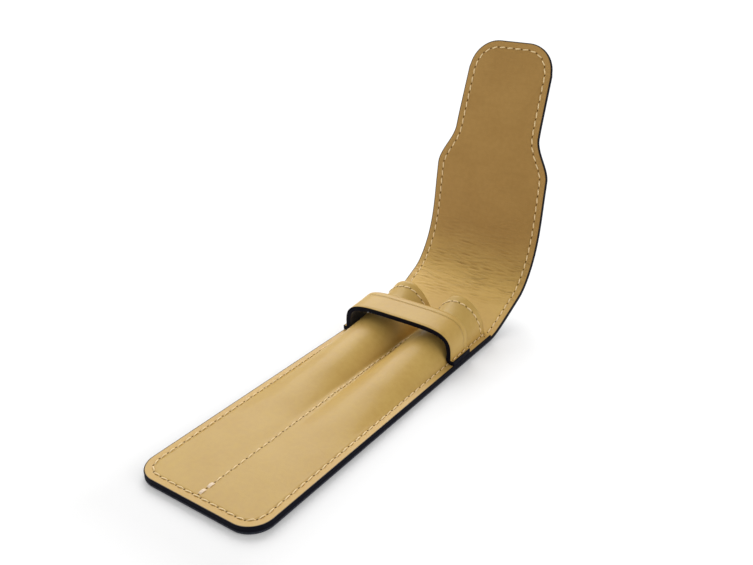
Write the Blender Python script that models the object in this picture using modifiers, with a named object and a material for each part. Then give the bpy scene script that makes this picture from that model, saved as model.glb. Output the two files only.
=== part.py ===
"""Two pen case: a flat leather back with a long flap, a lining, a front that rises into
two pen tubes, and a strap across the tubes that holds the tongue of the flap.

Metres, +Z up.  +X runs across the case, +Y from the sewn foot towards the flap.
The origin is the middle of the back's underside.
"""
import math

import bmesh
import bpy
import numpy as np
from mathutils import Vector

# Leather plies, from the back to the front
BACK_PLY = 0.0012
LINING_PLY = 0.0008
FRONT_PLY = 0.0011
STRAP_FACE_PLY = 0.0011
STRAP_BACKING_PLY = 0.0008
PLY_GAP = 0.0002
PANEL_GAP = 0.0003
EDGE_ROUND = 0.00022

# Body
CASE_WIDTH = 0.060
BODY_LENGTH = 0.160
FOOT_CORNER = 0.010

# Flap
FLAP_LENGTH = 0.151
FLAP_ROOT_LENGTH = 0.033
TONGUE_LENGTH = 0.046
SHOULDER_LENGTH = 0.020
SHOULDER_ONTO_TONGUE = 0.003
TONGUE_SIDE_CLEARANCE = 0.0037
TONGUE_TAPER = 0.0016
TONGUE_CORNER = 0.014
ROOT_EASE = 0.005
HINGE_CUTBACK = 0.00045
# Fold lines between the flap's root and its tongue, as shares of that run
FOLD_LINE_SHARES = (0.0, 0.1199, 0.2398, 0.3597, 0.4795, 0.7123, 1.0)

# Rise of the flap root, then the heading of each panel at rest, in degrees
ROOT_RISE_DEG = 24.0
PANEL_HEADINGS_DEG = (46.8, 57.6, 68.6, 76.9, 81.3, 78.9, 68.7)

# Pen tubes in the front
SEAM_TO_TUBE = 0.0043
CENTRE_STRIP_HALF = 0.0017
TUBE_LENGTH = 0.1052
TUBE_START_SOFTNESS = 0.020
TUBE_SLOPE = 0.12
TUBE_FADE_START = 0.004
TUBE_FADE_END = 0.030
FLARE_LENGTH = 0.016
FLARE_HEIGHT = 0.0038
MOUTH_SETBACK = 0.0015
MOUTH_SETBACK_LENGTH = 0.040
LEATHER_BEND = 0.0008
# Fullness of the tube's flanks, from the flat foot to the mouth
FLANK_AT_FOOT = 1.2
OUTER_FLANK_AT_MOUTH = 0.42
INNER_FLANK_AT_MOUTH = 0.70

# Strap
STRAP_FROM_MOUTH = 0.0195
STRAP_WIDTH = 0.0140
STRAP_SIDE_CLEARANCE = 0.0005
STRAP_FOOT_BEND = 0.0024
TONGUE_CLEARANCE = 0.00255
STRAP_SQUARENESS = 4.5

# Mesh fineness
FRONT_COLUMNS = 54
FRONT_ROWS = 30
STRAP_COLUMNS = 48
STRAP_ROWS = 4
SHEET_COLUMNS = 4
CORNER_ROWS = 10
SHOULDER_ROWS = 2
SECTION_SAMPLES = 900
HEADING_SAMPLES = 24

# Colours, linear
TAN = (0.62, 0.45, 0.19, 1.0)
TAN_LINING = (0.50, 0.34, 0.14, 1.0)
NAVY = (0.035, 0.038, 0.055, 1.0)
DARK_SUEDE = (0.06, 0.052, 0.05, 1.0)

# Heights that follow from the plies
LINING_BASE = BACK_PLY + PLY_GAP
LINING_TOP = LINING_BASE + LINING_PLY
FRONT_BASE = LINING_TOP + PLY_GAP
FRONT_TOP = FRONT_BASE + FRONT_PLY
STRAP_FOOT = FRONT_TOP + PLY_GAP
FLAP_MIDDLE = LINING_TOP / 2
HALF_WIDTH = CASE_WIDTH / 2
FOOT_Y = -BODY_LENGTH / 2
MOUTH_Y = BODY_LENGTH / 2
FLANK_CREASE = math.radians(50.0)

# Places along the case, from the foot, and widths that fit one another
TUBE_START = BODY_LENGTH - TUBE_LENGTH
FLARE_START = BODY_LENGTH - FLARE_LENGTH
MOUTH_SETBACK_START = BODY_LENGTH - MOUTH_SETBACK_LENGTH
STRAP_NEAR_EDGE = BODY_LENGTH - STRAP_FROM_MOUTH - STRAP_WIDTH
STRAP_MIDDLE = STRAP_NEAR_EDGE + STRAP_WIDTH / 2
TUBE_HALF_WIDTH = (HALF_WIDTH - SEAM_TO_TUBE - CENTRE_STRIP_HALF) / 2
TUBE_CENTRE = CENTRE_STRIP_HALF + TUBE_HALF_WIDTH
STRAP_INNER_HALF = TUBE_CENTRE + TUBE_HALF_WIDTH + STRAP_SIDE_CLEARANCE
TONGUE_START = FLAP_LENGTH - TONGUE_LENGTH
SHOULDER_END = TONGUE_START + SHOULDER_ONTO_TONGUE
SHOULDER_START = SHOULDER_END - SHOULDER_LENGTH
TONGUE_ROOT_HALF = STRAP_INNER_HALF - TONGUE_SIDE_CLEARANCE
TONGUE_TIP_HALF = TONGUE_ROOT_HALF - TONGUE_TAPER / 2


def start_collection(name):
    for old in list(bpy.data.objects):
        bpy.data.objects.remove(old)
    made = bpy.data.collections.new(name)
    bpy.context.scene.collection.children.link(made)
    return made


def leather(name, colour, roughness):
    made = bpy.data.materials.new(name)
    made.use_nodes = True
    shader = made.node_tree.nodes["Principled BSDF"]
    shader.inputs["Base Color"].default_value = colour
    shader.inputs["Roughness"].default_value = roughness
    return made


def smooth_step(value, start, end):
    share = min(max((value - start) / (end - start), 0.0), 1.0)
    return share * share * (3.0 - 2.0 * share)


def corner_rows(length, radius, count):
    """Distances along a sheet that crowd together in its rounded end."""
    turns = np.linspace(0.0, math.pi / 2, count + 1)
    return [length - radius + radius * math.sin(turn) for turn in turns]


def rounded_half_width(half, radius, into_corner):
    """Half width where a corner of this radius has been entered by so much."""
    if into_corner <= 0.0:
        return half
    return half - radius + math.sqrt(max(radius ** 2 - into_corner ** 2, 0.0))


def sheet(name, rows, columns, place, thickness, material, collection, axis=None):
    """A leather sheet: a grid laid out by place(row, share across), thickened and
    with its cut edges rounded.  axis puts the origin on a fold line."""
    frame = bmesh.new()
    bmesh.ops.create_grid(frame, x_segments=columns, y_segments=len(rows) - 1, size=1.0)
    last = len(rows) - 1
    for vert in frame.verts:
        row = round((vert.co.y + 1.0) / 2.0 * last)
        column = round((vert.co.x + 1.0) / 2.0 * columns)
        vert.co = place(rows[row], 2.0 * column / columns - 1.0)
    origin = Vector(axis) if axis else Vector()
    bmesh.ops.translate(frame, verts=frame.verts, vec=-origin)
    mesh = bpy.data.meshes.new(name)
    frame.to_mesh(mesh)
    frame.free()
    mesh.shade_smooth()
    mesh.materials.append(material)
    made = bpy.data.objects.new(name, mesh)
    made.location = origin
    collection.objects.link(made)
    body = made.modifiers.new("ply", 'SOLIDIFY')
    body.thickness = thickness
    body.offset = 0.0
    body.use_even_offset = True
    edge = made.modifiers.new("cut edge", 'BEVEL')
    edge.width = EDGE_ROUND
    edge.segments = 2
    edge.limit_method = 'ANGLE'
    edge.angle_limit = FLANK_CREASE
    return made


# Body sheets

def body_half_width(y):
    return rounded_half_width(HALF_WIDTH, FOOT_CORNER, FOOT_CORNER - y)


def foot_rows():
    """Distances from the foot that crowd together in its rounded corners."""
    return sorted(BODY_LENGTH - y for y in corner_rows(BODY_LENGTH, FOOT_CORNER, CORNER_ROWS))


def body_sheet(name, base, thickness, material, collection):
    height = base + thickness / 2

    def place(y, across):
        return Vector((across * body_half_width(y), FOOT_Y + y, height))

    rows = foot_rows() + [BODY_LENGTH]
    return sheet(name, rows, SHEET_COLUMNS, place, thickness, material, collection)


# Front with its two tubes

def tube_height(y):
    """Height of a tube's crest over the flat front."""
    run = y - TUBE_START
    rise = TUBE_SLOPE * (run + math.hypot(run, TUBE_START_SOFTNESS)) / 2
    flare = FLARE_HEIGHT * max((y - FLARE_START) / (BODY_LENGTH - FLARE_START), 0.0) ** 2
    return (rise + flare) * smooth_step(y, TUBE_FADE_START, TUBE_FADE_END)


def front_section(y):
    """Cross-section of the front's middle surface as points x, z from right to left."""
    open_share = smooth_step(y, TUBE_START / 2, BODY_LENGTH)
    outer = FLANK_AT_FOOT + (OUTER_FLANK_AT_MOUTH - FLANK_AT_FOOT) * open_share
    inner = FLANK_AT_FOOT + (INNER_FLANK_AT_MOUTH - FLANK_AT_FOOT) * open_share
    turns = np.linspace(math.pi / 2, -math.pi / 2, SECTION_SAMPLES // 4)
    flank = np.where(turns > 0.0, outer, inner)
    x = TUBE_CENTRE + TUBE_HALF_WIDTH * np.sin(turns)
    z = tube_height(y) * np.abs(np.cos(turns)) ** (2.0 * flank)
    x = np.concatenate(([HALF_WIDTH], x, [0.0]))
    z = np.concatenate(([0.0], z, [0.0]))
    x = np.concatenate((x, -x[-2::-1]))
    z = np.concatenate((z, z[-2::-1]))
    x, z = even_run(x, z, SECTION_SAMPLES)
    run = np.hypot(np.diff(x), np.diff(z)).sum()
    reach = max(int(3.0 * LEATHER_BEND / run * SECTION_SAMPLES), 1)
    offsets = np.arange(-reach, reach + 1) * run / SECTION_SAMPLES / LEATHER_BEND
    weights = np.exp(-offsets ** 2 / 2.0)
    weights = weights / weights.sum()
    soft = np.convolve(np.pad(z, reach, mode="edge"), weights, mode="valid")
    soft_x = np.convolve(np.pad(x, reach, mode="reflect", reflect_type="odd"), weights, mode="valid")
    return soft_x, soft


def even_run(x, z, count):
    """The same polyline with its points evenly spaced along its length."""
    run = np.concatenate(([0.0], np.cumsum(np.hypot(np.diff(x), np.diff(z)))))
    even = np.linspace(0.0, run[-1], count)
    return np.interp(even, run, x), np.interp(even, run, z)


def pocket_front(material, collection):
    rows = foot_rows()
    spare = FRONT_ROWS - CORNER_ROWS
    rows += [FOOT_CORNER + (BODY_LENGTH - FOOT_CORNER) * (k / spare) for k in range(1, spare + 1)]
    middle = FRONT_BASE + FRONT_PLY / 2
    sections = {}
    for y in rows:
        x, z = even_run(*front_section(y), FRONT_COLUMNS + 1)
        crest = z.max()
        sections[y] = x, z, z / crest if crest > PLY_GAP else z * 0.0

    def place(y, across):
        x, z, rise = sections[y]
        column = round((1.0 - across) / 2.0 * FRONT_COLUMNS)
        setback = MOUTH_SETBACK * smooth_step(y, MOUTH_SETBACK_START, BODY_LENGTH)
        return Vector((x[column] * body_half_width(y) / HALF_WIDTH,
                       FOOT_Y + y - setback * rise[column], middle + z[column]))

    return sheet("pocket_front", rows, FRONT_COLUMNS, place, FRONT_PLY, material, collection)


# Strap across the tubes

def strap_inner_line(y):
    """Inner face of the strap as points x, z from the right foot to the left one."""
    top = FRONT_TOP + tube_height(STRAP_MIDDLE) + LINING_TOP + TONGUE_CLEARANCE
    rise = top + TUBE_SLOPE * (y - STRAP_MIDDLE) - STRAP_FOOT - STRAP_FOOT_BEND
    bend = np.linspace(0.0, math.pi / 2, SECTION_SAMPLES // 8)
    shoulder = np.linspace(0.0, math.pi / 2, SECTION_SAMPLES // 2)
    power = 2.0 / STRAP_SQUARENESS
    x = np.concatenate((
        [HALF_WIDTH],
        STRAP_INNER_HALF + STRAP_FOOT_BEND * (1.0 - np.sin(bend)),
        STRAP_INNER_HALF * np.abs(np.cos(shoulder)) ** power))
    z = np.concatenate((
        [0.0],
        STRAP_FOOT_BEND * (1.0 - np.cos(bend)),
        STRAP_FOOT_BEND + rise * np.sin(shoulder) ** power))
    x[-1] = 0.0
    x = np.concatenate((x, -x[-2::-1]))
    z = np.concatenate((z, z[-2::-1]))
    return even_run(x, STRAP_FOOT + z, SECTION_SAMPLES)


def strap_ply(name, inset, thickness, material, collection):
    """One ply of the strap, lying by inset outside the strap's inner face."""
    rows = [STRAP_NEAR_EDGE + STRAP_WIDTH * (k / STRAP_ROWS) for k in range(STRAP_ROWS + 1)]
    lines = {}
    for y in rows:
        x, z = strap_inner_line(y)
        along_x, along_z = np.gradient(x), np.gradient(z)
        length = np.hypot(along_x, along_z)
        out = inset + thickness / 2
        lines[y] = even_run(x + along_z / length * out, z - along_x / length * out, STRAP_COLUMNS + 1)

    def place(y, across):
        x, z = lines[y]
        column = round((1.0 - across) / 2.0 * STRAP_COLUMNS)
        return Vector((x[column], FOOT_Y + y, z[column]))

    return sheet(name, rows, STRAP_COLUMNS, place, thickness, material, collection)


# Flap

def flap_half_width(s):
    narrowing = smooth_step(s, SHOULDER_START, SHOULDER_END)
    half = HALF_WIDTH + (TONGUE_ROOT_HALF - HALF_WIDTH) * narrowing
    if s > SHOULDER_END:
        taper_share = (s - SHOULDER_END) / (FLAP_LENGTH - SHOULDER_END)
        half += (TONGUE_TIP_HALF - TONGUE_ROOT_HALF) * taper_share
    return rounded_half_width(half, TONGUE_CORNER, s - FLAP_LENGTH + TONGUE_CORNER)


def root_heading(s):
    return math.radians(ROOT_RISE_DEG) * (1.0 - math.exp(-s / ROOT_EASE))


def root_point(s):
    """Middle surface of the fixed flap root at distance s from the mouth."""
    steps = np.linspace(0.0, s, HEADING_SAMPLES + 1)
    middles = (steps[1:] + steps[:-1]) / 2
    headings = [root_heading(m) for m in middles]
    step = s / HEADING_SAMPLES
    y = MOUTH_Y + step * sum(math.cos(h) for h in headings)
    z = FLAP_MIDDLE + step * sum(math.sin(h) for h in headings)
    return y, z


def flap_lines():
    """Distance along the flap of each fold line, from its root to its tongue."""
    return [FLAP_ROOT_LENGTH + (TONGUE_START - FLAP_ROOT_LENGTH) * share for share in FOLD_LINE_SHARES]


def flap_axes():
    """Point y, z of each fold line at rest."""
    lines = flap_lines()
    y, z = root_point(FLAP_ROOT_LENGTH)
    points = [(y, z)]
    for start, end, degrees in zip(lines, lines[1:], PANEL_HEADINGS_DEG):
        heading = math.radians(degrees)
        y += (end - start) * math.cos(heading)
        z += (end - start) * math.sin(heading)
        points.append((y, z))
    return points


def ply_middle(base, thickness):
    """Middle of a ply as a height over the flap's middle surface."""
    return base + thickness / 2 - FLAP_MIDDLE


def root_sheet(name, base, thickness, material, collection):
    lift = ply_middle(base, thickness)
    end = FLAP_ROOT_LENGTH - HINGE_CUTBACK
    rows = [PANEL_GAP + (end - PANEL_GAP) * (k / CORNER_ROWS) ** 1.5 for k in range(CORNER_ROWS + 1)]

    def place(s, across):
        y, z = root_point(s)
        heading = root_heading(s)
        return Vector((across * HALF_WIDTH, y - lift * math.sin(heading), z + lift * math.cos(heading)))

    return sheet(name, rows, SHEET_COLUMNS, place, thickness, material, collection)


def panel_rows(start, end):
    if end >= FLAP_LENGTH:
        onto = [start + (SHOULDER_END - start) * (k / SHOULDER_ROWS) for k in range(SHOULDER_ROWS + 1)]
        return onto + corner_rows(FLAP_LENGTH, TONGUE_CORNER, CORNER_ROWS)
    if end > SHOULDER_START:
        return [start + (end - start) * (k / CORNER_ROWS) for k in range(CORNER_ROWS + 1)]
    return [start, end]


def panel_sheet(name, index, base, thickness, material, collection):
    """One ply of a flap panel between two fold lines, with its origin on the first."""
    lines = flap_lines() + [FLAP_LENGTH + HINGE_CUTBACK]
    heading = math.radians(PANEL_HEADINGS_DEG[index])
    axis_y, axis_z = flap_axes()[index]
    lift = ply_middle(base, thickness)
    rows = panel_rows(lines[index] + HINGE_CUTBACK, lines[index + 1] - HINGE_CUTBACK)

    def place(s, across):
        run = s - lines[index]
        return Vector((across * flap_half_width(s),
                       axis_y + run * math.cos(heading) - lift * math.sin(heading),
                       axis_z + run * math.sin(heading) + lift * math.cos(heading)))

    return sheet(name, rows, SHEET_COLUMNS, place, thickness, material, collection, (0.0, axis_y, axis_z))


def build():
    case = start_collection("two_pen_case")
    back = leather("back_leather", NAVY, 0.55)
    lining = leather("lining_leather", TAN_LINING, 0.5)
    front = leather("front_leather", TAN, 0.45)
    strap = leather("strap_leather", TAN, 0.45)
    suede = leather("strap_suede", DARK_SUEDE, 0.9)
    body_sheet("body_back", 0.0, BACK_PLY, back, case)
    body_sheet("body_lining", LINING_BASE, LINING_PLY, lining, case)
    pocket_front(front, case)
    strap_ply("strap_backing", 0.0, STRAP_BACKING_PLY, suede, case)
    strap_ply("strap_face", STRAP_BACKING_PLY + PLY_GAP, STRAP_FACE_PLY, strap, case)
    root_sheet("flap_root_back", 0.0, BACK_PLY, back, case)
    root_sheet("flap_root_lining", LINING_BASE, LINING_PLY, lining, case)
    for index in range(len(PANEL_HEADINGS_DEG)):
        number = index + 1
        panel_sheet(f"flap_panel_{number}_back", index, 0.0, BACK_PLY, back, case)
        panel_sheet(f"flap_panel_{number}_lining", index, LINING_BASE, LINING_PLY, lining, case)


build()
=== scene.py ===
"""Looks of the leather case with two tubes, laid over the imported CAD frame.

Metres, in the frame of the CAD.  S runs along the leather from the mouth line: negative on
the body, down to -BODY at the foot, positive along the flap.  n is a height over the middle
of the back and lining, x a distance across the flat leather.
"""

import math

import bmesh
import bpy
import numpy as np
from mathutils import Matrix, Vector


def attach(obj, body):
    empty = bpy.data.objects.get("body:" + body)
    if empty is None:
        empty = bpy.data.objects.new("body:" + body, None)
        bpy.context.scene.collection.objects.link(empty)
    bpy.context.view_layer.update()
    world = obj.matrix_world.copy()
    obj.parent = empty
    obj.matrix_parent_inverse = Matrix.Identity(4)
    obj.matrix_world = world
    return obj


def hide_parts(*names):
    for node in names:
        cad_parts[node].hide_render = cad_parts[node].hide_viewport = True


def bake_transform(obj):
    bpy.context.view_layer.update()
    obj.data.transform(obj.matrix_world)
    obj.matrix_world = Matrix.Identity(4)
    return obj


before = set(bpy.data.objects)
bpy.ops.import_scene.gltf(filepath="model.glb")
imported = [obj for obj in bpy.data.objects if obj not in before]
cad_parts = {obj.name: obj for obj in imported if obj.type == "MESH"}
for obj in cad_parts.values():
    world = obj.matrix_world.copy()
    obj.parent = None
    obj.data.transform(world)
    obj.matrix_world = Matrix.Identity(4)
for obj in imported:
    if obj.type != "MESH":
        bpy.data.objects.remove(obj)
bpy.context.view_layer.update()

MM = 0.001

# Back and lining, from the foot to the tip of the tongue
HALF = 30 * MM
BODY = 160 * MM
FLAP = 151 * MM
FOOT_CORNER = 10 * MM
MOUTH_Y = BODY / 2
MIDDLE = 1.1 * MM
PLIES_MEET = 0.2 * MM
ROOT_END = 33 * MM
ROOT_RISE = math.radians(24.0)
ROOT_EASE = 5 * MM
SHOULDER = (88 * MM, 108 * MM)
TONGUE_HALF = (22.5 * MM, 21.7 * MM)
TONGUE_CORNER = 14 * MM

# Fold lines from the root to the tongue, the lie of the leather past each of them, and how
# far from its line each fold bends
FOLD_RUN = 72 * MM
FOLD_LINE_SHARES = (0.0, 0.1199, 0.2398, 0.3597, 0.4795, 0.7123, 1.0)
FOLDS = [ROOT_END + FOLD_RUN * share for share in FOLD_LINE_SHARES]
HEADINGS = [math.radians(lie) for lie in (46.8, 57.6, 68.6, 76.9, 81.3, 78.9, 68.7)]
REACHES = [4.31 * MM] * 5 + [8.38 * MM, 10.3 * MM]
CUTS = [fold - reach for fold, reach in zip(FOLDS, REACHES)]

# Wrinkles of the lining: depth, where they start and end along S, and the plain rim
WRINKLE_DEPTH = 0.21 * MM
WRINKLE_START = (13 * MM, 27 * MM)
WRINKLE_END = (46 * MM, 72 * MM)
WRINKLE_RIM = (5 * MM, 9 * MM)

# Front and its two tubes
PLY_GAP = 0.2 * MM
FRONT_BASE = 2.4 * MM
FRONT_PLY = 1.1 * MM
FRONT_FACE = FRONT_PLY / 2
TUBE_CENTRE = 13.7 * MM
TUBE_HALF = 12.0 * MM
TUBE_START = 54.8 * MM
TUBE_SLOPE = 0.12
TUBE_SOFTNESS = 20 * MM
TUBE_FADE = (4 * MM, 30 * MM)
FLARE_LENGTH = 16 * MM
FLARE_HEIGHT = 3.8 * MM
FLANK_AT_FOOT = 1.2
OUTER_FLANK_AT_MOUTH = 0.42
INNER_FLANK_AT_MOUTH = 0.70
LEATHER_BEND = 0.8 * MM
MOUTH_LEAN = 1.5 * MM
LEAN_FROM = 120 * MM
SLACK = 0.085 * MM

# Strap
STRAP_NEAR = 126.5 * MM
STRAP_WIDTH = 14 * MM
STRAP_MIDDLE = STRAP_NEAR + STRAP_WIDTH / 2
STRAP_HALF = 26.2 * MM
STRAP_BEND = 2.4 * MM
STRAP_TOP = 17.844 * MM
STRAP_POWER = 2 / 4.5
STRAP_FOOT = FRONT_BASE + FRONT_PLY + PLY_GAP
STRAP_BACKING = 1.0 * MM
STRAP_STACK = 2.1 * MM

# Rounding of the cut edges, and the little that is left where two plies meet
BACK_ROUND = 0.85 * MM
LINING_ROUND = 0.28 * MM
FACE_ROUND = 0.3 * MM
NAPPED_ROUND = 0.15 * MM
MET_ROUND = 0.02 * MM

# Seams and threads
SEAM_INSET = 3.3 * MM
PITCH = 4.1 * MM
MOUTH_PITCH = 3.6 * MM
STRAP_PITCH = 3.9 * MM
FLAP_SEAM_START = 3 * MM
EDGE_SEAM_START = -1.0 * MM
CENTRE_SEAM_END = -1.5 * MM
MOUTH_SEAM = -3.0 * MM
MOUTH_SEAM_ENDS = (1.6 * MM, 4.6 * MM)
STRAP_SEAM_ENDS = 1.2 * MM
STRAP_SEAM_INSET = 1.3 * MM
TACK_ENDS = (0.8 * MM, 9 * MM)
TACK_ASIDE = 0.44 * MM
THREAD = 0.32 * MM
STITCH_GAP = 0.085
STITCH_SLANT = 0.16 * MM
STITCH_LIFT = 0.23 * MM
FLAP_LIFT = 0.06 * MM
TACK_LIFT = 0.24 * MM
BACK_LIFT = -0.08 * MM
TWISTS = 2
HOLE = 0.43 * MM
HOLE_LIFT = 0.012 * MM

# Fineness of the tables and the meshes
ROOT_STEPS = 660
LINE_SAMPLES = 6121
TUBE_SAMPLES = 225
SECTION_SAMPLES = 901
FRONT_ROWS, FRONT_COLUMNS = 321, 401
SHOULDER_SAMPLES, BEND_SAMPLES = 450, 120
STRAP_SAMPLES = 701
SIDE_SAMPLES, ARC_SAMPLES = 1200, 60
BODY_STEP = 4 * MM
BACK_STEP = 0.8 * MM
LINING_STEP = 0.45 * MM
TONGUE_STEP = 0.8 * MM
BEND_ROWS_END = 70 * MM
FRONT_STEPS, STRAP_STEPS, CORNER_STEPS, ROUND_STEPS = 150, 20, 14, 4
BACK_ACROSS, LINING_ACROSS, FRONT_ACROSS, STRAP_ACROSS = 24, 120, 150, 120
YARN_AROUND, YARN_ALONG, HOLE_SIDES = 8, 6, 8
WELD = 0.0001 * MM

# Where the looks change, along S or inward from the cut edge
ROOT_FADE = (26 * MM, 62 * MM)
CREASE_START = (13 * MM, 28 * MM)
CREASE_END = (40 * MM, 72 * MM)
SHEEN_BAND_END = (2.5 * MM, 3.5 * MM)
SEAM_SHADE = 0.9 * MM
EDGE_SHADE = (0.05 * MM, 0.40 * MM)

# Colours, linear; a pair is the light and the deep one
EDGE_DARK = (0.002, 0.002, 0.004, 1.0)
EDGE_RUB = (0.007, 0.007, 0.015, 1.0)
TAN = (0.590, 0.392, 0.106, 1.0)
TAN_DEEP = (0.505, 0.309, 0.076, 1.0)
# Painted sheen: a lighter strip between the seam and the cut edge of the front
TAN_SHEEN = (0.730, 0.452, 0.146, 1.0)
# Painted light: the same lining lighter near the mouth, where it lies flatter and takes more light
ROOT_LIT = (0.715, 0.470, 0.130, 1.0)
ROOT_LIT_DEEP = (0.620, 0.385, 0.096, 1.0)
# The lining's own tan, partly darkened as painted shade of the upright flap, which faces away from the key
# lamp
LINING_SHADED = (0.500, 0.287, 0.078, 1.0)
LINING_SHADED_DEEP = (0.400, 0.218, 0.051, 1.0)
# Painted sheen: a lighter strip between the seam and the cut edge of the lining
LINING_SHEEN = (0.550, 0.322, 0.094, 1.0)
PEBBLES = ((0.020, 0.024, 0.042, 1.0), (0.008, 0.009, 0.016, 1.0))
SUEDE = ((0.035, 0.031, 0.030, 1.0), (0.010, 0.009, 0.010, 1.0))
FLESH = ((0.55, 0.39, 0.17, 1.0), (0.36, 0.24, 0.09, 1.0))
YARN = ((0.98, 0.78, 0.44, 1.0), (0.80, 0.56, 0.27, 1.0))
DARK_YARN = ((0.05, 0.05, 0.07, 1.0), (0.02, 0.02, 0.03, 1.0))
TACK_YARN = ((0.97, 0.80, 0.60, 1.0), (0.85, 0.66, 0.46, 1.0))
# Painted shade of the needle holes
HOLE_SHADE = ((0.180, 0.100, 0.032, 1.0), (0.090, 0.047, 0.014, 1.0))
FLOOR = (0.96, 0.96, 0.96, 1.0)
WHITE = (1.0, 1.0, 1.0, 1.0)

# Camera at the photograph's viewing angle
CAMERA_PLACE = (0.1897, -0.2298, 0.1991)
CAMERA_AZIMUTH = 0.62708293
CAMERA_ELEVATION = 0.45259542
CAMERA_ROLL = -0.0173787566
CAMERA_LENS = 40.905
CAMERA_SENSOR = 36.0
CAMERA_NEAR = 0.01

# Lamps: name, place, aim, size across and watts
LAMPS = (("key", (-0.36, 0.42, 0.50), (0.0, 0.03, 0.0), 0.60, 3.4),
         ("left", (-0.70, 0.00, 0.35), (0.0, 0.03, 0.0), 0.50, 1.4),
         ("fill", (0.80, 0.10, 0.26), (0.0, 0.04, 0.02), 0.50, 1.7))

# Floor that takes the shadow, round the middle and half size of what lies on it
FLOOR_REACH = 12.0
GROUND_MIDDLE = (0.0, -8 * MM, 0.0)
GROUND_HALF = (HALF, 86 * MM, 0.0)
SHADOW_FADE = (-14 * MM, 46 * MM)
GLOW = 1.1
SKY = 0.52


# Shapes of the leather

def smooth(value, start, end):
    share = np.clip((value - start) / (end - start), 0.0, 1.0)
    return share * share * (3.0 - 2.0 * share)


def running_sum(steps):
    return np.concatenate(([0.0], np.cumsum(steps)))


def centre_line():
    """Tables of S, y, z and heading of the middle surface, rounded at the folds."""
    s = np.linspace(0.0, ROOT_END, ROOT_STEPS + 1)
    turn = ROOT_RISE * (1.0 - np.exp(-(s[1:] + s[:-1]) / 2 / ROOT_EASE))
    y = MOUTH_Y + running_sum(np.cos(turn)) * s[1]
    z = MIDDLE + running_sum(np.sin(turn)) * s[1]
    points = [np.array((y[-1], z[-1]))]
    ends = FOLDS + [FLAP]
    for start, end, heading in zip(ends, ends[1:], HEADINGS):
        points.append(points[-1] + (end - start) * np.array((math.cos(heading), math.sin(heading))))
    table_s = np.concatenate(([-BODY], s, ends[1:]))
    table_y = np.concatenate(([MOUTH_Y - BODY], y, [point[0] for point in points[1:]]))
    table_z = np.concatenate(([MIDDLE], z, [point[1] for point in points[1:]]))
    fine = np.linspace(-BODY, FLAP, LINE_SAMPLES)
    line_y = np.interp(fine, table_s, table_y)
    line_z = np.interp(fine, table_s, table_z)
    for fold, reach in zip(FOLDS, REACHES):
        inside = np.abs(fine - fold) < reach
        t = (fine[inside] - fold + reach) / (2 * reach)
        for line, table in ((line_y, table_y), (line_z, table_z)):
            before, at, after = (np.interp(fold + way * reach, table_s, table) for way in (-1, 0, 1))
            line[inside] = (1 - t) ** 2 * before + 2 * t * (1 - t) * at + t ** 2 * after
    heading = np.arctan2(np.gradient(line_z), np.gradient(line_y))
    return fine, line_y, line_z, heading


LINE_S, LINE_Y, LINE_Z, LINE_TURN = centre_line()


def wrinkle(s, x):
    """Folds across the lining where the flap bends, from a few crossing waves, about -1 to 1."""
    total = 0.0
    for pitch, skew, start in np.random.default_rng(5).uniform(-1.0, 1.0, (11, 3)):
        total = total + np.sin((2.9 + 1.3 * pitch) / MM * s + 0.50 * skew / MM * x + 9.0 * start)
    patch = 0.65 + 0.35 * np.sin(190.0 * s + 3.0 * np.sin(75.0 * x)) * np.sin(95.0 * x + 2.0)
    zone = smooth(s, *WRINKLE_START) * (1.0 - smooth(s, *WRINKLE_END))
    clear = smooth(HALF - np.abs(x), *WRINKLE_RIM)
    return total / 4.0 * patch * zone * clear


def base_surface(s, x, n):
    """Point of the back and lining for S, x and n."""
    turn = np.interp(s, LINE_S, LINE_TURN)
    y = np.interp(s, LINE_S, LINE_Y) - n * np.sin(turn)
    z = np.interp(s, LINE_S, LINE_Z) + n * np.cos(turn)
    return np.stack(np.broadcast_arrays(x, y, z), axis=-1)


def lining_surface(s, x, n):
    """The same, with the wrinkles in the lining's upper face."""
    upper = n > MIDDLE - 0.01 * MM
    return base_surface(s, x, n + WRINKLE_DEPTH * wrinkle(s, x) * upper)


def tube_height(y):
    """Height of the tubes over the flat front, for y from the foot."""
    run = y - TUBE_START
    rise = TUBE_SLOPE * (run + np.hypot(run, TUBE_SOFTNESS)) / 2
    flare = FLARE_HEIGHT * np.maximum((y - BODY + FLARE_LENGTH) / FLARE_LENGTH, 0.0) ** 2
    return (rise + flare) * smooth(y, *TUBE_FADE)


def even_run(x, z, count):
    """The line through these points as evenly spaced ones, and its length."""
    run = running_sum(np.hypot(np.diff(x), np.diff(z)))
    even = np.linspace(0.0, run[-1], count)
    return np.interp(even, run, x), np.interp(even, run, z), run[-1]


def both_sides(x, z):
    """A half section with its mirror image on the left."""
    return np.concatenate((-x[:0:-1], x)), np.concatenate((z[:0:-1], z))


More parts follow.
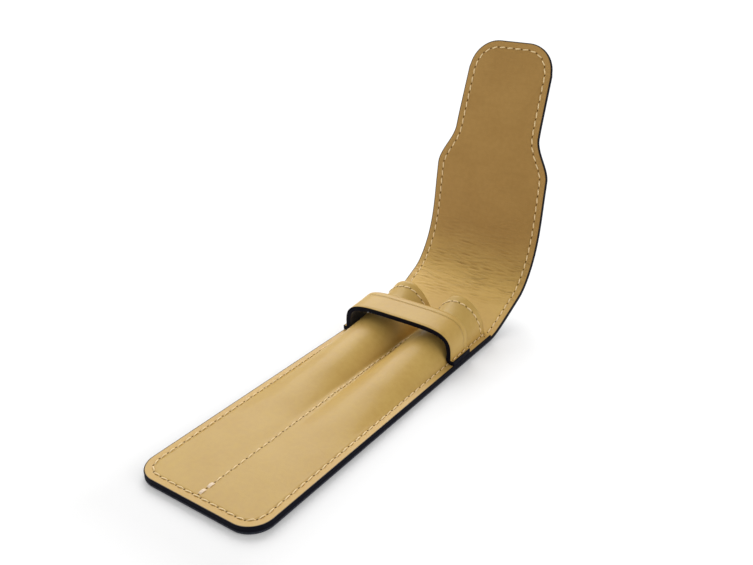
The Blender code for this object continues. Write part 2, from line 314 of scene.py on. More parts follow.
def front_section(y):
    """Middle surface of the front across the case, from left to right."""
    open_share = smooth(y, TUBE_START / 2, BODY)
    outer = FLANK_AT_FOOT + (OUTER_FLANK_AT_MOUTH - FLANK_AT_FOOT) * open_share
    inner = FLANK_AT_FOOT + (INNER_FLANK_AT_MOUTH - FLANK_AT_FOOT) * open_share
    turns = np.linspace(-math.pi / 2, math.pi / 2, TUBE_SAMPLES)
    flank = np.where(turns > 0.0, outer, inner)
    x = TUBE_CENTRE + TUBE_HALF * np.sin(turns)
    z = tube_height(y) * np.abs(np.cos(turns)) ** (2.0 * flank)
    x = np.concatenate(([0.0], x, [HALF]))
    z = np.concatenate(([0.0], z, [0.0]))
    x, z, length = even_run(*both_sides(x, z), SECTION_SAMPLES)
    reach = max(int(3.0 * LEATHER_BEND / length * SECTION_SAMPLES), 1)
    offsets = np.arange(-reach, reach + 1) * length / SECTION_SAMPLES / LEATHER_BEND
    weights = np.exp(-offsets ** 2 / 2.0)
    weights = weights / weights.sum()
    z = np.convolve(np.pad(z, reach, mode="edge"), weights, mode="valid")
    x = np.convolve(np.pad(x, reach, mode="reflect", reflect_type="odd"), weights, mode="valid")
    return even_run(x, z, FRONT_COLUMNS)


def front_tables():
    """Tables over y of the front's sections, how far they lean back, and half their length."""
    ys = np.linspace(0.0, BODY, FRONT_ROWS)
    rows = [front_section(y) for y in ys]
    x, z = (np.array([row[axis] for row in rows]) for axis in (0, 1))
    crest = np.maximum(z.max(axis=1, keepdims=True), 0.2 * MM)
    lean = -MOUTH_LEAN * smooth(ys, LEAN_FROM, BODY)[:, None] * z / crest
    return ys, x, z, lean, np.array([row[2] for row in rows]) / 2


FRONT_YS, FRONT_X, FRONT_Z, FRONT_LEAN, FRONT_ARC = front_tables()


def look_up(table, y, share):
    """Bilinear reading of a table over y and a share from -1 to 1 across."""
    row = np.clip(y / BODY, 0.0, 1.0) * (FRONT_ROWS - 1)
    column = (np.clip(share, -1.0, 1.0) + 1.0) / 2.0 * (FRONT_COLUMNS - 1)
    r = np.minimum(row.astype(int), FRONT_ROWS - 2)
    c = np.minimum(column.astype(int), FRONT_COLUMNS - 2)
    down, across = row - r, column - c
    low = table[r, c] * (1 - across) + table[r, c + 1] * across
    high = table[r + 1, c] * (1 - across) + table[r + 1, c + 1] * across
    return low * (1 - down) + high * down


def slack(y, a):
    """Slight unevenness of the hand-formed front."""
    wave = (np.sin(a * 310 + y * 97) * np.sin(y * 151 - a * 120 + 1.3)
            + 0.6 * np.sin(a * 190 - y * 233 + 0.7) + 0.4 * np.sin(y * 402 + a * 160))
    edge = np.clip((HALF - 5 * MM - np.abs(a)) / (8 * MM), 0.0, 1.0)
    return SLACK * wave * edge * smooth(y, 10 * MM, 50 * MM)


def front_middle(y, a):
    """Point in the middle of the front's leather."""
    share = a / np.interp(y, FRONT_YS, FRONT_ARC)
    return np.stack((look_up(FRONT_X, y, share), y - MOUTH_Y + look_up(FRONT_LEAN, y, share),
                     FRONT_BASE + FRONT_FACE + look_up(FRONT_Z, y, share) + slack(y, a)), axis=-1)


def front_surface(y, a, n):
    """Point of the front for y from the foot, a across the leather and n over its middle."""
    step = 0.4 * MM
    reach = np.interp(y, FRONT_YS, FRONT_ARC) - 0.5 * MM
    inner = np.clip(a, -reach, reach)
    along = front_middle(np.minimum(y + step, BODY), inner) - front_middle(np.maximum(y - step, 0.0), inner)
    across = front_middle(y, inner + step) - front_middle(y, inner - step)
    normal = np.cross(across, along)
    normal = normal / np.linalg.norm(normal, axis=-1, keepdims=True)
    aside = np.stack((a - inner, 0 * a, 0 * a), axis=-1)
    return front_middle(y, inner) + normal * n[..., None] + aside


def front_from_mouth(s, x, n):
    """The same for S instead of y."""
    return front_surface(BODY + s, x, n)


def strap_line(y):
    """Inner face of the strap at y: x, z, the two parts of its normal, and half its length."""
    rise = STRAP_TOP + TUBE_SLOPE * (y - STRAP_MIDDLE) - STRAP_FOOT - STRAP_BEND
    bend = np.linspace(math.pi / 2, 0.0, BEND_SAMPLES)
    shoulder = np.linspace(math.pi / 2, 0.0, SHOULDER_SAMPLES)
    x = np.concatenate((STRAP_HALF * np.cos(shoulder) ** STRAP_POWER,
                        STRAP_HALF + STRAP_BEND * (1.0 - np.sin(bend)), [HALF]))
    z = np.concatenate((STRAP_BEND + rise * np.sin(shoulder) ** STRAP_POWER,
                        STRAP_BEND * (1.0 - np.cos(bend)), [0.0]))
    x[0] = 0.0
    x, z, length = even_run(*both_sides(x, z), STRAP_SAMPLES)
    along_x, along_z = np.gradient(x), np.gradient(z)
    size = np.hypot(along_x, along_z)
    return x, STRAP_FOOT + z, -along_z / size, along_x / size, length / 2


STRAP_ARC = strap_line(STRAP_MIDDLE)[4]


def strap_surface(y, a, n):
    """Point of the strap for y from the foot, a along the strap and n over its inner face."""
    low, high = strap_line(STRAP_NEAR), strap_line(STRAP_NEAR + STRAP_WIDTH)
    t = (y - STRAP_NEAR) / STRAP_WIDTH
    places = np.linspace(-STRAP_ARC, STRAP_ARC, STRAP_SAMPLES)
    x, z, normal_x, normal_z = ((1 - t) * np.interp(a, places, near) + t * np.interp(a, places, far)
                                for near, far in zip(low[:4], high[:4]))
    return np.stack((x + n * normal_x, y - MOUTH_Y + 0 * a, z + n * normal_z), axis=-1)


# Sheets of leather

def half_width(s):
    """Half width of the back and lining at S."""
    half = HALF + (TONGUE_HALF[0] - HALF) * smooth(s, *SHOULDER)
    taper = np.clip((s - SHOULDER[1]) / (FLAP - SHOULDER[1]), 0.0, 1.0)
    return half + (TONGUE_HALF[1] - TONGUE_HALF[0]) * taper


class Row:
    """A row of a sheet: where it lies and how wide it is for a given inset from the cut edge.

    A row in a pair of rounded corners has their centre, radius, turn and way instead of its s.
    """

    def __init__(self, s, half, corner=None):
        self.s, self.half, self.corner = s, half, corner

    def at(self, inset):
        if self.corner is None:
            return self.s, self.half - inset
        centre, radius, turn, way = self.corner
        return (centre + way * (radius - inset) * math.sin(turn),
                self.half - radius + (radius - inset) * math.cos(turn))

    def rim(self, share):
        """Distance from the cut edge at this share of the half width."""
        half = self.at(0.0)[1]
        if self.corner is None:
            return half * (1.0 - share)
        radius, turn = self.corner[1:3]
        into = max(half * share - self.half + radius, 0.0)
        return radius - math.hypot(into, radius * math.sin(turn))


def corner_rows(centre, radius, half, way):
    """Rows round a pair of corners: way is 1 at the far end of a sheet and -1 at the near end."""
    turns = np.linspace(0.0, math.pi / 2, CORNER_STEPS + 1)
    rows = [Row(None, half, (centre, radius, turn, way)) for turn in turns]
    return rows if way > 0 else rows[::-1]


def rounded(low, high, round_low, round_high):
    """Insets and heights round the cut edge, from the lower face to the upper one."""
    turns = np.linspace(0.0, math.pi / 2, ROUND_STEPS + 1)
    under = [(round_low * (1 - math.sin(t)), low + round_low * (1 - math.cos(t))) for t in turns]
    upper = [(round_high * (1 - math.cos(t)), high - round_high * (1 - math.sin(t))) for t in turns]
    return under + upper


class Sheet:
    """A closed piece of leather: two grids for its faces, and loops extruded round its cut edge.

    It is laid out flat, as x, S and n, and then bent by the surface that it lies on.  Its
    materials are those of the upper face, the cut edge and the lower face.
    """

    def __init__(self, rows, columns, profile, surface, open_end=False):
        self.last = len(rows) - 1
        self.shape = shape = bmesh.new()
        layers = shape.verts.layers
        row, level, number = (layers.int.new(title) for title in ("row", "level", "number"))
        share = layers.float.new("share")
        top = len(profile) - 1
        for face_level in (0, top):
            made = bmesh.ops.create_grid(shape, x_segments=columns, y_segments=self.last, size=1.0)
            for vert in made["verts"]:
                vert[row] = round((vert.co.y + 1.0) / 2.0 * self.last)
                vert[share] = vert.co.x
                vert[level] = face_level
            if face_level == 0:
                rim = [edge for edge in shape.edges if edge.is_boundary]
                for turn in range(1, top + 1):
                    made = bmesh.ops.extrude_edge_only(shape, edges=rim)["geom"]
                    for vert in (part for part in made if isinstance(part, bmesh.types.BMVert)):
                        vert[level] = turn
                    edges = (part for part in made if isinstance(part, bmesh.types.BMEdge))
                    rim = [edge for edge in edges if edge.is_boundary]
        places = [[row_of.at(inset) for row_of in rows] for inset, n in profile]
        for vert in shape.verts:
            s, half = places[vert[level]][vert[row]]
            vert.co = (half * vert[share], s, profile[vert[level]][1])
        bmesh.ops.remove_doubles(shape, verts=shape.verts, dist=WELD)
        bmesh.ops.recalc_face_normals(shape, faces=shape.faces)
        for face in shape.faces:
            levels = {vert[level] for vert in face.verts}
            at_mouth = open_end and all(vert[row] == self.last for vert in face.verts)
            face.material_index = 0 if levels == {top} or at_mouth else 2 if levels == {0} else 1
        for count, vert in enumerate(shape.verts):
            vert[number] = count
        x, s, n = np.array([vert.co for vert in shape.verts]).T
        self.flat = np.stack((x, s), axis=-1)
        inward = np.array([rows[vert[row]].rim(abs(vert[share])) for vert in shape.verts])
        self.rim = np.stack((inward, wrinkle(s, x)), axis=-1)
        lay(shape.verts, surface, s, x, n)
        shape.normal_update()
        self.normals = np.array([vert.normal for vert in shape.verts])

    def piece(self, name, materials, first=0, last=None):
        """The rows from first to last as an object, shaded as one with its neighbours."""
        last = self.last if last is None else last
        shape = self.shape.copy()
        row, number = (shape.verts.layers.int[title] for title in ("row", "number"))
        outside = [face for face in shape.faces
                   if not all(first <= vert[row] <= last for vert in face.verts)]
        bmesh.ops.delete(shape, geom=outside, context='FACES')
        used = np.array([vert[number] for vert in shape.verts])
        cuts = {place for place in (first, last) if 0 < place < self.last}
        cut = np.array([vert[row] in cuts for vert in shape.verts])
        made = finished(name, shape, materials)
        lay_chart(made.data, "flat", self.flat[used])
        lay_chart(made.data, "rim", self.rim[used])
        if cuts:
            normals = np.where(cut[:, None], self.normals[used], 0.0)
            made.data.normals_split_custom_set_from_vertices(normals.tolist())
        return made


def lay(verts, surface, s, x, n):
    """Moves vertices to their places on a surface."""
    for vert, point in zip(verts, surface(s, x, n)):
        vert.co = point


def finished(name, shape, materials):
    """The shape as a smooth object of the scene."""
    for face in shape.faces:
        face.smooth = True
    mesh = bpy.data.meshes.new(name)
    shape.to_mesh(mesh)
    shape.free()
    for material in materials:
        mesh.materials.append(material)
    made = bpy.data.objects.new(name, mesh)
    bpy.context.scene.collection.objects.link(made)
    return made


def lay_chart(mesh, title, values):
    """A UV map that holds a pair of values for each vertex."""
    corner = np.zeros(len(mesh.loops), np.int32)
    mesh.loops.foreach_get("vertex_index", corner)
    layer = mesh.uv_layers.new(name=title)
    layer.data.foreach_set("uv", values[corner].astype(np.float32).ravel())


def long_rows(bend_step):
    """Rows of the back and lining, with one on each cut between the flap's pieces."""
    rows = corner_rows(-BODY + FOOT_CORNER, FOOT_CORNER, HALF, -1)
    count = round((BODY - FOOT_CORNER) / BODY_STEP)
    rows += [Row(s, HALF) for s in np.linspace(-BODY + FOOT_CORNER, 0.0, count + 1)[1:]]
    marks = [0.0] + CUTS + [FLAP - TONGUE_CORNER]
    cuts = []
    for start, end in zip(marks, marks[1:]):
        step = bend_step if start < BEND_ROWS_END else TONGUE_STEP
        count = max(round((end - start) / step), 1)
        rows += [Row(s, float(half_width(s))) for s in np.linspace(start, end, count + 1)[1:]]
        cuts.append(len(rows) - 1)
    rows += corner_rows(FLAP - TONGUE_CORNER, TONGUE_CORNER, TONGUE_HALF[1], 1)[1:]
    return rows, cuts[:-1]


def zone_ends(index):
    """Where a fold's bend starts and ends, in the middle of the leather."""
    fold, reach = FOLDS[index], REACHES[index]
    return [base_surface(np.array(fold + way * reach), np.array(0.0), np.array(0.0)).tolist()
            for way in (-1, 1)]


def settle(piece, index):
    """Lets a piece ride on the case (index 0); any other piece has its place baked into its mesh."""
    if index == 0:
        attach(piece, "case")
    else:
        parent = "case" if index == 1 else f"flap_{index - 1}"
        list(zone_ends(index - 1))
        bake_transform(piece)


def long_sheet(name, profile, surface, step, columns, materials, nodes):
    """The back or the lining, from the foot to the tongue, cut where the flap's folds start."""
    rows, cuts = long_rows(step)
    built = Sheet(rows, columns, profile, surface)
    marks = [0] + cuts + [len(rows) - 1]
    for index, (first, last) in enumerate(zip(marks, marks[1:])):
        piece = built.piece(f"{name}_{index}", materials, first, last)
        settle(piece, index)
        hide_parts(*(nodes if index == 0 else [f"flap_panel_{index}_{name}"]))


def flat_sheet(name, rows, columns, profile, surface, materials, node, open_end=False):
    """A sheet that stays on the case."""
    piece = Sheet(rows, columns, profile, surface, open_end).piece(name, materials)
    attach(piece, "case")
    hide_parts(node)


# Stitching

def flap_seam(s_from):
    """Right side of the seam from s_from on, round the tip to its middle, as S, x."""
    end = FLAP - TONGUE_CORNER
    s = np.linspace(s_from, end, SIDE_SAMPLES)
    x = half_width(s)
    slope = np.gradient(x, s)
    size = np.hypot(1.0, slope)
    side = np.stack((s + SEAM_INSET * slope / size, x - SEAM_INSET / size), axis=-1)
    turns = np.linspace(0.0, math.pi / 2, ARC_SAMPLES)[1:]
    radius = TONGUE_CORNER - SEAM_INSET
    arc = np.stack((end + radius * np.sin(turns),
                    TONGUE_HALF[1] - TONGUE_CORNER + radius * np.cos(turns)), axis=-1)
    return np.concatenate((side, arc, [[arc[-1][0], 0.0]]))


def foot_seam():
    """Right side of the seam from the mouth down to the foot and round to its middle, as S, x."""
    turns = np.linspace(0.0, math.pi / 2, ARC_SAMPLES)
    radius = FOOT_CORNER - SEAM_INSET
    arc = np.stack((-BODY + FOOT_CORNER - radius * np.sin(turns),
                    HALF - FOOT_CORNER + radius * np.cos(turns)), axis=-1)
    s = np.linspace(0.0, -BODY + FOOT_CORNER, ARC_SAMPLES)[:-1]
    s[0] = EDGE_SEAM_START
    side = np.stack((s, 0 * s + HALF - SEAM_INSET), axis=-1)
    return np.concatenate((side, arc, [[arc[-1][0], 0.0]]))


def on_front(path):
    """The same path laid on the front, whose arc over a tube is longer than it is wide."""
    spare = np.interp(BODY + path[:, 0], FRONT_YS, FRONT_ARC) - HALF
    on_side = path[:, 1] > HALF - SEAM_INSET - 0.01 * MM
    return path + np.stack((0 * spare, spare * on_side), axis=-1)


def mirrored(path):
    """The path with its mirror image added, from the right end to the left one."""
    return np.concatenate((path, (path * (1, -1))[::-1][1:]))


def even_path(path, pitch):
    """Needle holes along a path, as near this pitch as fits."""
    run = running_sum(np.linalg.norm(np.diff(path, axis=0), axis=1))
    count = max(round(run[-1] / pitch), 1)
    even = np.linspace(0.0, run[-1], count + 1)
    return np.stack((np.interp(even, run, path[:, 0]), np.interp(even, run, path[:, 1])), axis=-1)


def add_stitch(shape, start, end, surface, base, side, lift=STITCH_LIFT, slant=STITCH_SLANT):
    """One stitch between two holes: a grid rolled up round, pointed and sunk at both ends."""
    made = bmesh.ops.create_grid(shape, x_segments=YARN_AROUND, y_segments=YARN_ALONG, size=1.0,
                                 calc_uvs=True)["verts"]
    around, along = np.array([vert.co[:2] for vert in made]).T
    around = math.pi * np.where(around > 0.999, -1.0, around)
    share = (1.0 + np.sin(along * math.pi / 2.0)) / 2.0
    bow = np.clip(np.cos(math.pi * (share - 0.5)), 0.0, 1.0)
    width = THREAD * np.where(np.abs(along) > 0.999, 0.0, bow ** 0.25)
    aside = np.array((start[1] - end[1], end[0] - start[0])) / np.linalg.norm(end - start)
    path = start + (end - start) * (STITCH_GAP + (1.0 - 2.0 * STITCH_GAP) * share[:, None])
    path = path + aside * (slant * np.cos(math.pi * share) + width * np.cos(around))[:, None]
    sunk = 1.5 * THREAD
    rise = -sunk + (sunk + lift) * bow ** 0.35 + 0.65 * width * np.sin(around)
    lay(made, surface, path[:, 0], path[:, 1], base + side * rise)


def add_hole(shape, place, surface, base, side):
    """A needle hole as painted shade: a small dark disc that lies on the leather's face."""
    made = bmesh.ops.create_circle(shape, cap_ends=True, segments=HOLE_SIDES, radius=HOLE)["verts"]
    across, along = np.array([vert.co[:2] for vert in made]).T
    height = base + side * HOLE_LIFT + 0 * along
    lay(made, surface, place[0] + along, place[1] + 0.8 * across, height)
    if side < 0:
        bmesh.ops.reverse_faces(shape, faces=made[0].link_faces)


def sew(name, path, surface, base, side, materials, pitch=PITCH, on_flap=False, holes=True, **form):
    """Stitches along a path of S, x; on the flap they are grouped by the piece that they lie on."""
    points = even_path(path, pitch)
    groups = {}
    for number in range(len(points) - 1):
        middle = (points[number][0] + points[number + 1][0]) / 2
        index = int(np.searchsorted(CUTS, middle)) if on_flap else 0
        groups.setdefault(index, []).append(number)
    for index, numbers in sorted(groups.items()):
        shape = bmesh.new()
        shape.loops.layers.uv.new("flat")
        for k in numbers:
            add_stitch(shape, points[k], points[k + 1], surface, base, side, **form)
        bmesh.ops.remove_doubles(shape, verts=shape.verts, dist=WELD)
        bmesh.ops.recalc_face_normals(shape, faces=shape.faces)
        settle(finished(f"{name}_stitches_{index}", shape, materials[:1]), index)
        if holes:
            shape = bmesh.new()
            for k in numbers:
                add_hole(shape, points[k], surface, base, side)
            settle(finished(f"{name}_holes_{index}", shape, materials[1:]), index)


# Nodes

class Field:
    """A socket of a node tree that can be reckoned with like a number."""

    def __init__(self, nodes, socket):
        self.nodes, self.socket = nodes, socket

    def _math(self, operation, *values):
        return Field(self.nodes, self.nodes.node("ShaderNodeMath", values, operation=operation).outputs[0])

    def __add__(self, other):
        return self._math('ADD', self, other)

    def __sub__(self, other):
        return self._math('SUBTRACT', self, other)

    def __rsub__(self, other):
        return self._math('SUBTRACT', other, self)

    def __mul__(self, other):
        return self._math('MULTIPLY', self, other)

    __radd__, __rmul__ = __add__, __mul__

    def sine(self):
        return self._math('SINE', self)

    def size(self):
        return self._math('ABSOLUTE', self)

    def ramp(self, low, high, to_low=0.0, to_high=1.0):
        sockets = {"Value": self, "From Min": low, "From Max": high, "To Min": to_low, "To Max": to_high}
        node = self.nodes.node("ShaderNodeMapRange", sockets, interpolation_type='SMOOTHSTEP')
        return Field(self.nodes, node.outputs[0])

    def line(self, at, width):
        """1 on a line at this value, falling to 0 at width from it."""
        return (self - at).size().ramp(0.0, width, 1.0, 0.0)


class Nodes:
    """A node tree of a material or the world."""

    def __init__(self, tree):
        self.tree = tree

    def node(self, kind, sockets=(), **settings):
        """A node with its settings, and the values or links of its sockets by name or in order."""
        made = self.tree.nodes.new(kind)
        for name, value in settings.items():
            setattr(made, name, value)
        self.fill(made, sockets if isinstance(sockets, dict) else dict(enumerate(sockets)))
        return made

    def fill(self, node, sockets):
        for place, value in sockets.items():
            value = value.socket if isinstance(value, Field) else value
            if isinstance(value, bpy.types.NodeSocket):
                self.tree.links.new(value, node.inputs[place])
            else:
                node.inputs[place].default_value = value

    def vector(self, operation, *values):
        node = self.node("ShaderNodeVectorMath", values, operation=operation)
        return node.outputs["Value" if operation == 'LENGTH' else "Vector"]

    def camera_share(self):
        """1 for what the camera sees itself, 0 for light and reflections."""
        return Field(self, self.node("ShaderNodeLightPath").outputs["Is Camera Ray"])


class Paint(Nodes):
    """A material and the few calls that build its pattern."""

    def __init__(self, name, roughness=0.5, coat=0.0, sheen=0.0, specular=0.5):
        self.material = bpy.data.materials.new(name)
        self.material.use_nodes = True
        super().__init__(self.material.node_tree)
        self.shader = self.tree.nodes["Principled BSDF"]
        self.fill(self.shader, {"Roughness": roughness, "Coat Weight": coat, "Sheen Weight": sheen,
                                "Specular IOR Level": specular})
        self.bump_from = None

    def chart(self, title="flat"):
        """The two values of a UV map: x and S, or the way in from the rim and the wrinkle."""
        split = self.node("ShaderNodeSeparateXYZ", [self.node("ShaderNodeUVMap", uv_map=title).outputs[0]])
        return Field(self, split.outputs[0]), Field(self, split.outputs[1])

    def place(self, x, y):
        return self.node("ShaderNodeCombineXYZ", [x, y]).outputs[0]

    def solid(self):
        return self.node("ShaderNodeTexCoord").outputs["Object"]

    def noise(self, where, scale, detail=3.0, roughness=0.5, distortion=0.0):
        sockets = {"Vector": where, "Scale": scale, "Detail": detail, "Roughness": roughness,
                   "Distortion": distortion}
        return Field(self, self.node("ShaderNodeTexNoise", sockets).outputs[0])

    def cells(self, where, scale):
        return Field(self, self.node("ShaderNodeTexVoronoi", {"Vector": where, "Scale": scale}).outputs[0])

    def mix(self, share, first, second):
        return self.node("ShaderNodeMix", {0: share, 6: first, 7: second}, data_type='RGBA').outputs[2]

    def bump(self, height, depth):
        """Adds relief over what was bumped before."""
        sockets = {"Distance": depth, "Height": height}
        if self.bump_from:
            sockets["Normal"] = self.bump_from
        self.bump_from = self.node("ShaderNodeBump", sockets).outputs[0]

    def finish(self, colour, roughness=None):
        sockets = {"Base Color": colour}
        if roughness is not None:
            sockets["Roughness"] = roughness
        if self.bump_from:
            sockets["Normal"] = self.bump_from
        self.fill(self.shader, sockets)
        return self.material


# Finishes; the scales of noise and cells are turns per metre of leather

def tan_leather(name, light, deep, sheen_band=None, root=None, wrinkles=False, creases=False, gloss=0.40):
    """Smooth tan leather with a faint grain.

    sheen_band is the colour between the seam and the cut edge, a painted sheen; root the two colours near
    the mouth, painted light where the lining lies flatter.
    """
    paint = Paint(name, coat=0.04, specular=0.28)
    x, s = paint.chart()
    rim, relief = paint.chart("rim")
    where = paint.place(x, s)
    cloud = paint.noise(where, 38.0, 4.0, 0.55, 0.4)
    fleck = paint.noise(where, 420.0, 3.0, 0.6)
    grain = paint.cells(where, 2600.0)
    streak = paint.noise(paint.place(x * 60.0, s * 900.0), 1.0, 3.0, 0.6)
    tone = cloud.ramp(0.25, 0.75) * 0.50 + fleck.ramp(0.3, 0.7) * 0.28 + streak * 0.22
    # Painted light: lighter colours near the mouth, fading out along S
    if root:
        light, deep = (paint.mix(s.ramp(*ROOT_FADE), *pair) for pair in zip(root, (light, deep)))
    colour = paint.mix(tone, deep, light)
    if sheen_band:
        # Painted sheen: lighter towards the cut edge, beyond the seam
        outer = rim.ramp(*SHEEN_BAND_END, 1.0, 0.0)
        colour = paint.mix(outer * 0.34, colour, sheen_band)
        # Painted shade: darker along the seam's pressed groove
        seam = rim.line(SEAM_INSET, SEAM_SHADE)
        colour = paint.mix(seam * 0.40, colour, deep)
        paint.bump(seam * -1.0, 0.16 * MM)
    colour = paint.mix(rim.ramp(*EDGE_SHADE, 0.85, 0.0), colour, EDGE_DARK)
    paint.bump(grain, 0.018 * MM)
    paint.bump(fleck, 0.05 * MM)
    paint.bump(cloud, 0.12 * MM)
    if wrinkles:
        bend = paint.noise(where, 45.0, 2.0)
        wave = paint.noise(paint.place(x * 55.0, s * 560.0 + bend * 6.0), 1.0, 4.0, 0.58, 0.8)
        patch = paint.noise(paint.place(x * 45.0, s * 90.0), 1.0, 2.0).ramp(0.36, 0.60, 0.45, 1.0)
        zone = s.ramp(*CREASE_START) * s.ramp(*CREASE_END, 1.0, 0.10) * patch
        fold = (wave - 0.5).size().ramp(0.0, 0.09, 1.0, 0.0) * zone
        # Painted shade: darker along the wrinkles' creases and in their troughs
        colour = paint.mix(fold * 0.16 + relief.ramp(-0.1, -1.0) * 0.52, colour, LINING_SHADED_DEEP)
        paint.bump(fold * -1.0, 0.08 * MM)
        paint.bump(wave * zone, 0.55 * MM)
    if creases:
        far = (s - STRAP_MIDDLE).line(STRAP_WIDTH / 2 - 2.8 * MM, 0.45 * MM)
        near = (s - STRAP_MIDDLE).line(1.0 * MM - STRAP_WIDTH / 2, 0.35 * MM)
        line = far + near * 0.4
        # Painted shade: darker along the crease grooves
        colour = paint.mix(line * 0.45, colour, deep)
        paint.bump(line * -1.0, 0.30 * MM)
    rough = fleck.ramp(0.3, 0.7, gloss - 0.04, gloss + 0.05) + cloud * 0.06
    return paint.finish(colour, rough)


def pebbled_leather(name):
    """The dark leather of the back."""
    paint = Paint(name, specular=0.3, coat=0.03)
    where = paint.place(*paint.chart())
    pebble = paint.cells(where, 1150.0)
    fine = paint.noise(where, 1500.0, 3.0)
    cloud = paint.noise(where, 45.0, 3.0)
    paint.bump(pebble * -1.0, 0.16 * MM)
    paint.bump(fine, 0.05 * MM)
    # Darker between the pebbles: painted shade in their hollows, over a random cloud of tone
    colour = paint.mix(pebble.ramp(0.2, 0.75) * 0.6 + cloud * 0.3, *PEBBLES)
    return paint.finish(colour, pebble.ramp(0.1, 0.8, 0.40, 0.62))


def edge_paint(name):
    """The dark paint on the cut edges."""
    paint = Paint(name, specular=0.06)
    rub = paint.noise(paint.solid(), 500.0, 3.0)
    paint.bump(rub, 0.08 * MM)
    return paint.finish(paint.mix(rub, EDGE_DARK, EDGE_RUB), rub.ramp(0.3, 0.7, 0.50, 0.70))


def suede(name):
    """The napped backing of the strap."""
    paint = Paint(name, roughness=0.95, sheen=0.25, specular=0.2)
    nap = paint.noise(paint.solid(), 1800.0, 4.0, 0.7)
    paint.bump(nap, 0.12 * MM)
    return paint.finish(paint.mix(nap, *reversed(SUEDE)))


def flesh(name):
    """The inner, unglazed side of the front."""
    paint = Paint(name, roughness=0.8, specular=0.3)
    nap = paint.noise(paint.solid(), 900.0, 4.0, 0.65)
    paint.bump(nap, 0.10 * MM)
    return paint.finish(paint.mix(nap, *reversed(FLESH)))


def thread(name, light, deep):
    """Waxed yarn, with its twist across each stitch."""
    paint = Paint(name, roughness=0.60, specular=0.25)
    u, v = paint.chart()
    twist = ((u + v * 2.5) * (2 * math.pi * TWISTS)).sine()
    paint.bump(twist, 0.03 * MM)
    fuzz = paint.noise(paint.solid(), 2500.0, 2.0)
    # The twist's grooves are a little darker: painted shade between the plies, with random fuzz
    return paint.finish(paint.mix(twist * 0.15 + 0.40 + fuzz * 0.45, deep, light))


def needle_hole_shade(name):
    """Painted shade of a hole where the thread goes in."""
    paint = Paint(name, roughness=0.9, specular=0.1)
    depth = paint.noise(paint.solid(), 3000.0, 2.0)
    return paint.finish(paint.mix(depth, *reversed(HOLE_SHADE)))


def make_finishes():
    return {
        "edge": edge_paint("edge_paint"),
        "front": tan_leather("front_leather", TAN, TAN_DEEP, TAN_SHEEN),
        "strap": tan_leather("strap_leather", TAN, TAN_DEEP, creases=True),
        "lining": tan_leather("lining_leather", LINING_SHADED, LINING_SHADED_DEEP, LINING_SHEEN, (ROOT_LIT, ROOT_LIT_DEEP),
                              wrinkles=True, gloss=0.50),
        "back": pebbled_leather("back_leather"),
        "napped": suede("strap_suede"),
        "inner": flesh("front_inner_face"),
        "yarn": thread("thread", *YARN),
        "dark_yarn": thread("dark_thread", *DARK_YARN),
        "tack_yarn": thread("tack_thread", *TACK_YARN),
        "hole": needle_hole_shade("needle_hole_shade"),
    }


# The case

def make_back(finish):
    profile = rounded(-MIDDLE, PLIES_MEET, BACK_ROUND, MET_ROUND)
    long_sheet("back", profile, base_surface, BACK_STEP, BACK_ACROSS,
               [finish["edge"], finish["back"], finish["back"]],
               ["body_back", "flap_root_back"])


def make_lining(finish):
    profile = rounded(PLIES_MEET, MIDDLE, MET_ROUND, LINING_ROUND)
    long_sheet("lining", profile, lining_surface, LINING_STEP, LINING_ACROSS,
               [finish["lining"], finish["edge"], finish["lining"]],
               ["body_lining", "flap_root_lining"])


def make_front(finish):
    rows = corner_rows(FOOT_CORNER, FOOT_CORNER, HALF, -1)
    stations = np.linspace(FOOT_CORNER, BODY, FRONT_STEPS + 1)[1:]
    rows += [Row(y, float(np.interp(y, FRONT_YS, FRONT_ARC))) for y in stations]
    profile = rounded(-FRONT_FACE - PLY_GAP, FRONT_FACE, MET_ROUND, FACE_ROUND)
    flat_sheet("front", rows, FRONT_ACROSS, profile, front_surface,
               [finish["front"], finish["edge"], finish["inner"]], "pocket_front",
               open_end=True)


def make_strap(finish):
    stations = np.linspace(STRAP_NEAR, STRAP_NEAR + STRAP_WIDTH, STRAP_STEPS + 1)
    rows = [Row(y, STRAP_ARC) for y in stations]
    backing = rounded(0.0, STRAP_BACKING, NAPPED_ROUND, MET_ROUND)
    face = rounded(STRAP_BACKING, STRAP_STACK, MET_ROUND, FACE_ROUND)
    flat_sheet("strap_back", rows, STRAP_ACROSS, backing, strap_surface,
               [finish["napped"], finish["edge"], finish["napped"]], "strap_backing")
    flat_sheet("strap_front", rows, STRAP_ACROSS, face, strap_surface,
               [finish["strap"], finish["edge"], finish["strap"]], "strap_face")


def sew_flap(finish):
    path = mirrored(flap_seam(FLAP_SEAM_START))
    sew("flap_inner", path, base_surface, MIDDLE, 1.0, (finish["yarn"], finish["hole"]), on_flap=True,
        lift=FLAP_LIFT)


def sew_front(finish):
    """The seam round the front, the one down its middle, and the tack that ends it at the foot."""
    yarns = (finish["yarn"], finish["hole"])
    sew("front_edge", mirrored(on_front(foot_seam())), front_from_mouth, FRONT_FACE, 1.0, yarns)
    foot = -BODY + SEAM_INSET
    centre = np.array([[foot + TACK_ENDS[1], 0.0], [CENTRE_SEAM_END, 0.0]])
    sew("centre", centre, front_from_mouth, FRONT_FACE, 1.0, yarns)
    for number in range(3):
        aside = (number - 1) * TACK_ASIDE
        tack = np.array([[foot + end, aside] for end in TACK_ENDS])
        sew(f"tack_{number}", tack, front_from_mouth, FRONT_FACE, 1.0,
            (finish["tack_yarn"], finish["hole"]), holes=number == 1, slant=0.0, lift=TACK_LIFT)


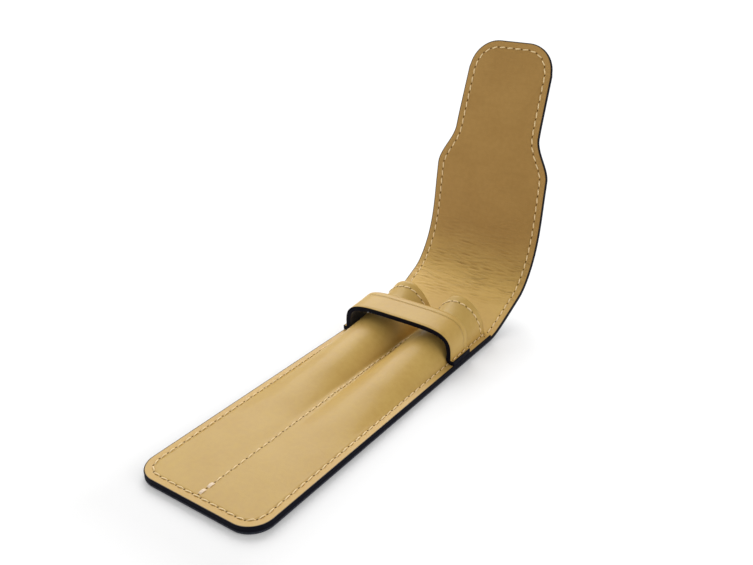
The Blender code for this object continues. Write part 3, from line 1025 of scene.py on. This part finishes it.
def sew_mouths_and_strap(finish):
    yarns = (finish["yarn"], finish["hole"])
    for way, label in ((1, "right"), (-1, "left")):
        ends = (FRONT_ARC[-1] - MOUTH_SEAM_ENDS[1], MOUTH_SEAM_ENDS[0])
        mouth = np.array([[MOUTH_SEAM, way * end] for end in ends])
        sew(f"mouth_{label}", mouth, front_from_mouth, FRONT_FACE, 1.0, yarns, pitch=MOUTH_PITCH)
        ends = (STRAP_NEAR + STRAP_SEAM_ENDS, STRAP_NEAR + STRAP_WIDTH - STRAP_SEAM_ENDS)
        tie = np.array([[end, way * (STRAP_ARC - STRAP_SEAM_INSET)] for end in ends])
        sew(f"strap_{label}", tie, strap_surface, STRAP_STACK, 1.0, yarns, pitch=STRAP_PITCH)


def sew_back(finish):
    """The dark thread on the outside, round the whole case."""
    path = np.concatenate((foot_seam()[::-1][:-1], flap_seam(EDGE_SEAM_START)))
    sew("outer", mirrored(path[1:]), base_surface, -MIDDLE, -1.0, (finish["dark_yarn"], finish["hole"]),
        on_flap=True, lift=BACK_LIFT)


def build():
    finish = make_finishes()
    make_back(finish)
    make_lining(finish)
    make_front(finish)
    make_strap(finish)
    sew_flap(finish)
    sew_front(finish)
    sew_mouths_and_strap(finish)
    sew_back(finish)


# Camera, lamps and floor

def make_camera():
    azimuth, elevation, roll = CAMERA_AZIMUTH, CAMERA_ELEVATION, CAMERA_ROLL
    look = Vector((-math.sin(azimuth) * math.cos(elevation),
                   math.cos(azimuth) * math.cos(elevation), -math.sin(elevation)))
    side = Vector((math.cos(azimuth), math.sin(azimuth), 0.0))
    above = side.cross(look)
    right = side * math.cos(roll) + above * math.sin(roll)
    up = above * math.cos(roll) - side * math.sin(roll)
    lens = bpy.data.cameras.new("camera")
    lens.sensor_width = CAMERA_SENSOR
    lens.lens = CAMERA_LENS
    lens.clip_start = CAMERA_NEAR
    camera = bpy.data.objects.new("camera", lens)
    turn = Matrix((right, up, -look)).transposed().to_4x4()
    camera.matrix_world = Matrix.Translation(Vector(CAMERA_PLACE)) @ turn
    bpy.context.scene.collection.objects.link(camera)
    bpy.context.scene.camera = camera


def make_lamp(name, place, aim, size, watts):
    lamp = bpy.data.lights.new(name, 'AREA')
    lamp.shape = 'DISK'
    lamp.size = size
    lamp.energy = watts
    made = bpy.data.objects.new(name, lamp)
    made.location = place
    made.rotation_euler = (Vector(aim) - Vector(place)).to_track_quat('-Z', 'Y').to_euler()
    bpy.context.scene.collection.objects.link(made)


def make_floor():
    """A floor that keeps the shadow near the case and glows white to the camera further out."""
    shape = bmesh.new()
    bmesh.ops.create_grid(shape, x_segments=1, y_segments=1, size=FLOOR_REACH)
    paint = Paint("floor", roughness=0.9, specular=0.1)
    floor = finished("floor", shape, [paint.finish(FLOOR)])
    beside = paint.vector('ABSOLUTE', paint.vector('SUBTRACT', paint.solid(), GROUND_MIDDLE))
    outside = paint.vector('MAXIMUM', paint.vector('SUBTRACT', beside, GROUND_HALF), (0.0, 0.0, 0.0))
    away = Field(paint, paint.vector('LENGTH', outside))
    share = away.ramp(*SHADOW_FADE, 0.0, 1.0) * paint.camera_share()
    glow = paint.node("ShaderNodeEmission", {"Strength": GLOW})
    blend = paint.node("ShaderNodeMixShader", [share, paint.shader.outputs[0], glow.outputs[0]])
    paint.fill(paint.tree.nodes["Material Output"], {"Surface": blend.outputs[0]})


def make_world():
    """Soft light from all round, seen as white by the camera."""
    world = bpy.data.worlds.new("world")
    world.use_nodes = True
    nodes = Nodes(world.node_tree)
    sky = nodes.tree.nodes["Background"]
    nodes.fill(sky, {"Color": WHITE, "Strength": SKY})
    white = nodes.node("ShaderNodeBackground", {"Color": WHITE})
    blend = nodes.node("ShaderNodeMixShader", [nodes.camera_share(), sky.outputs[0], white.outputs[0]])
    nodes.fill(nodes.tree.nodes["World Output"], {"Surface": blend.outputs[0]})
    bpy.context.scene.world = world


bpy.context.scene.view_settings.view_transform = 'Standard'
make_camera()
make_floor()
make_world()
for lamp in LAMPS:
    make_lamp(*lamp)
build()
